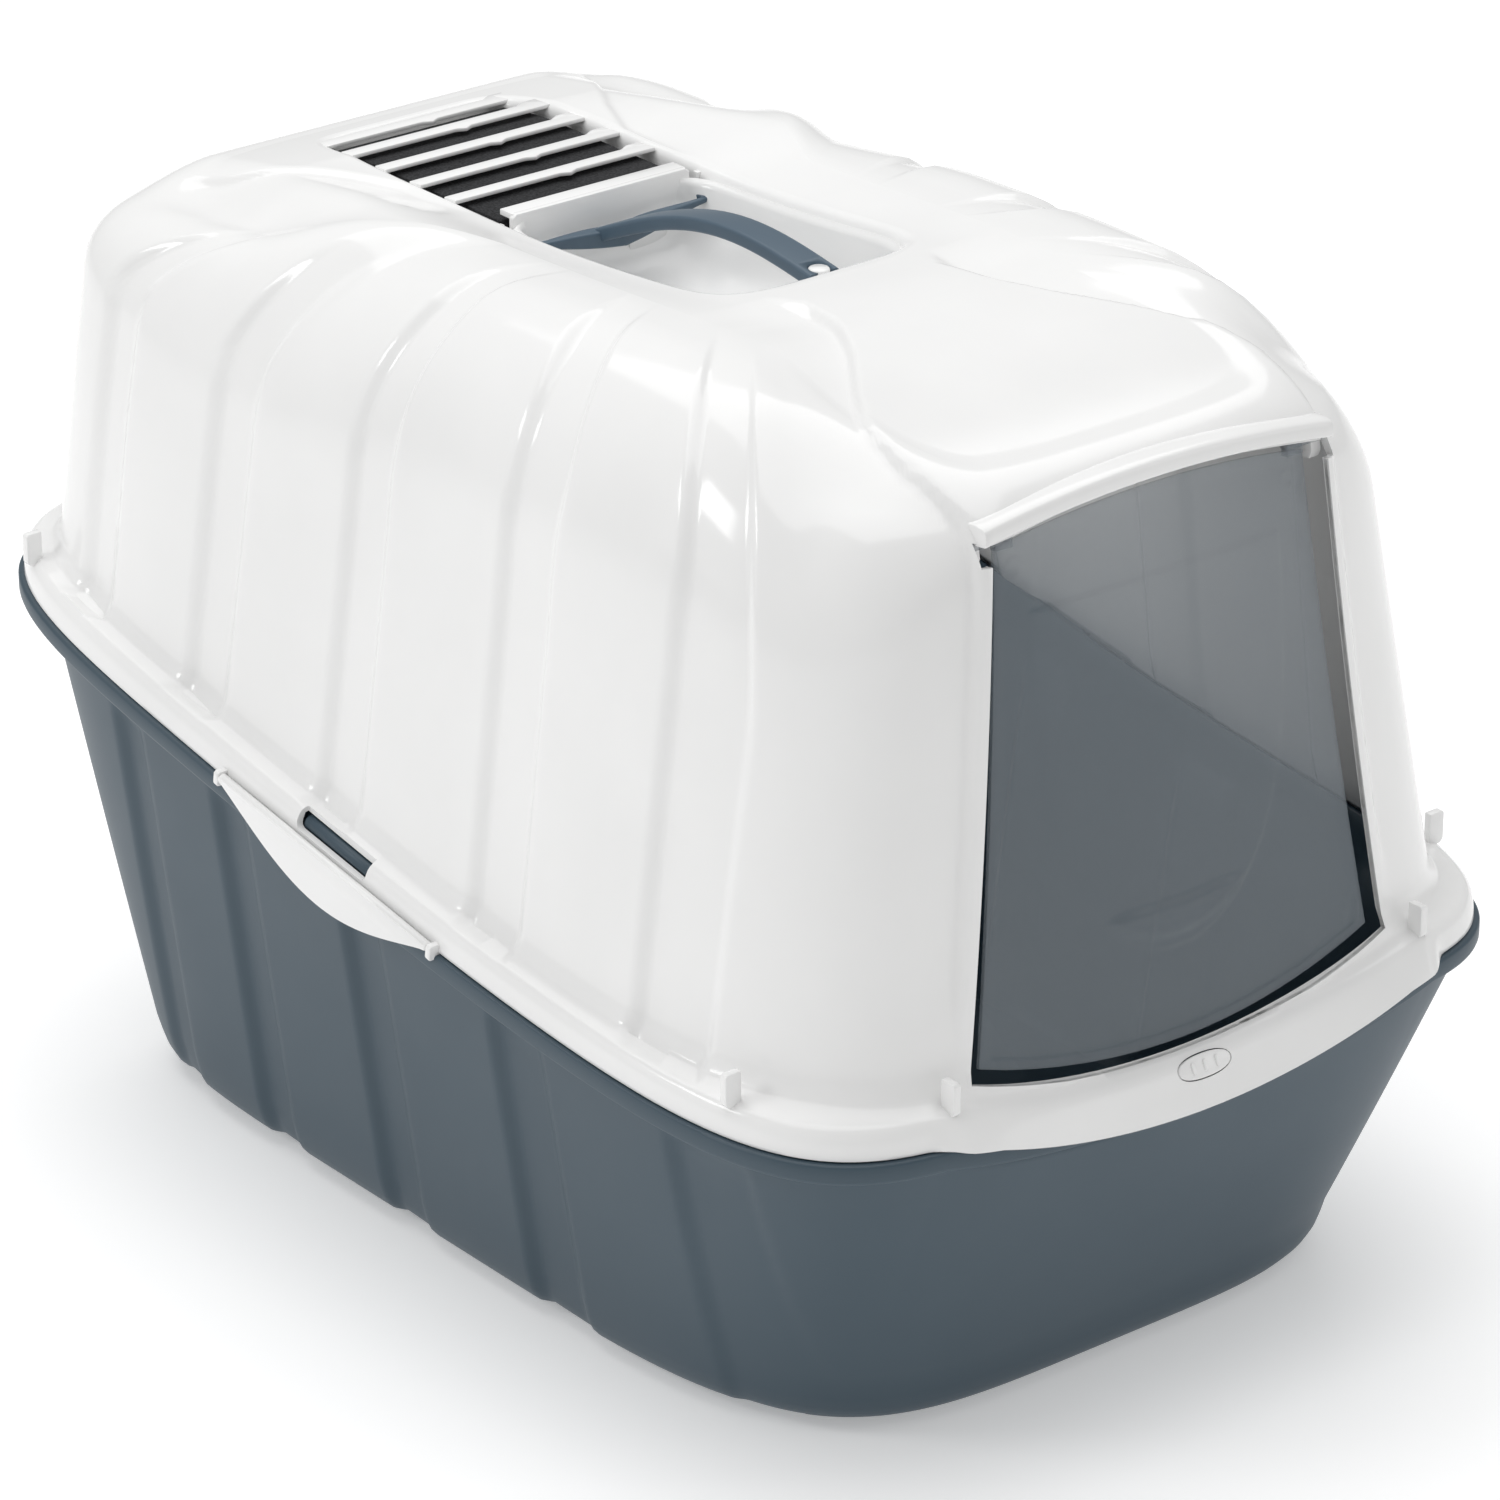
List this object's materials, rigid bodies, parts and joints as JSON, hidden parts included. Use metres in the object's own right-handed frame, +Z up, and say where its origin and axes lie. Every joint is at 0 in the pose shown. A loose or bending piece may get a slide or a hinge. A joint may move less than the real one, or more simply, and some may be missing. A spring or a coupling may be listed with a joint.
{
  "type": "hooded cat litter box",
  "caption": "Covered cat litter box: deep tray, lift-off domed hood with a see-through swing door, carrying handle, rear grille with charcoal filter, side latches and front push catch.",
  "frame": {"origin": "on the floor, under the centre of the outer box", "axes": "+Z up, the door faces -Y, +X to the right when seen from behind the box's door side"},
  "size_m": [0.3918, 0.57, 0.4053],
  "materials": {
    "tray_plastic": "satin moulded",
    "hood_plastic": "semi-gloss moulded",
    "door_plastic": "smoked clear",
    "handle_plastic": "satin moulded",
    "filter_carbon": "open fibre pad"
  },
  "bodies": {
    "tray": {"tray": "tray_plastic"},
    "hood": {"hood": "hood_plastic", "handle": "handle_plastic"},
    "door": {"door": "door_plastic"},
    "filter": {"filter_holder": "hood_plastic", "charcoal_filter": "filter_carbon"},
    "latch_left": {"latch_left": "hood_plastic"},
    "latch_right": {"latch_right": "hood_plastic"},
    "push_catch": {"push_catch": "hood_plastic"}
  },
  "joints": [
    {"name": "hood_lift", "type": "slide", "parent": "tray", "child": "hood", "axis": [0, 0, 1], "range_m": [0, 0.25]},
    {"name": "door_swing", "type": "hinge", "parent": "hood", "child": "door", "pos_m": [0, -0.238, 0.369], "axis": [1, 0, 0], "range_deg": [-76, 76]},
    {"name": "latch_left_swing", "type": "hinge", "parent": "hood", "child": "latch_left", "pos_m": [-0.1936, 0.02148, 0.17822], "axis": [0, 0.9869, 0.1613], "range_deg": [0, 80]},
    {"name": "latch_right_swing", "type": "hinge", "parent": "hood", "child": "latch_right", "pos_m": [0.1936, 0.02148, 0.17822], "axis": [0, -0.9869, -0.1613], "range_deg": [0, 80]},
    {"name": "push_catch_press", "type": "slide", "parent": "hood", "child": "push_catch", "axis": [0, 0.8829, -0.4695], "range_m": [0, 0.0025], "stiffness_N_per_m": 800},
    {"name": "filter_removal", "type": "slide", "parent": "hood", "child": "filter", "axis": [0, 0, -1], "range_m": [0, 0.05]}
  ]
}
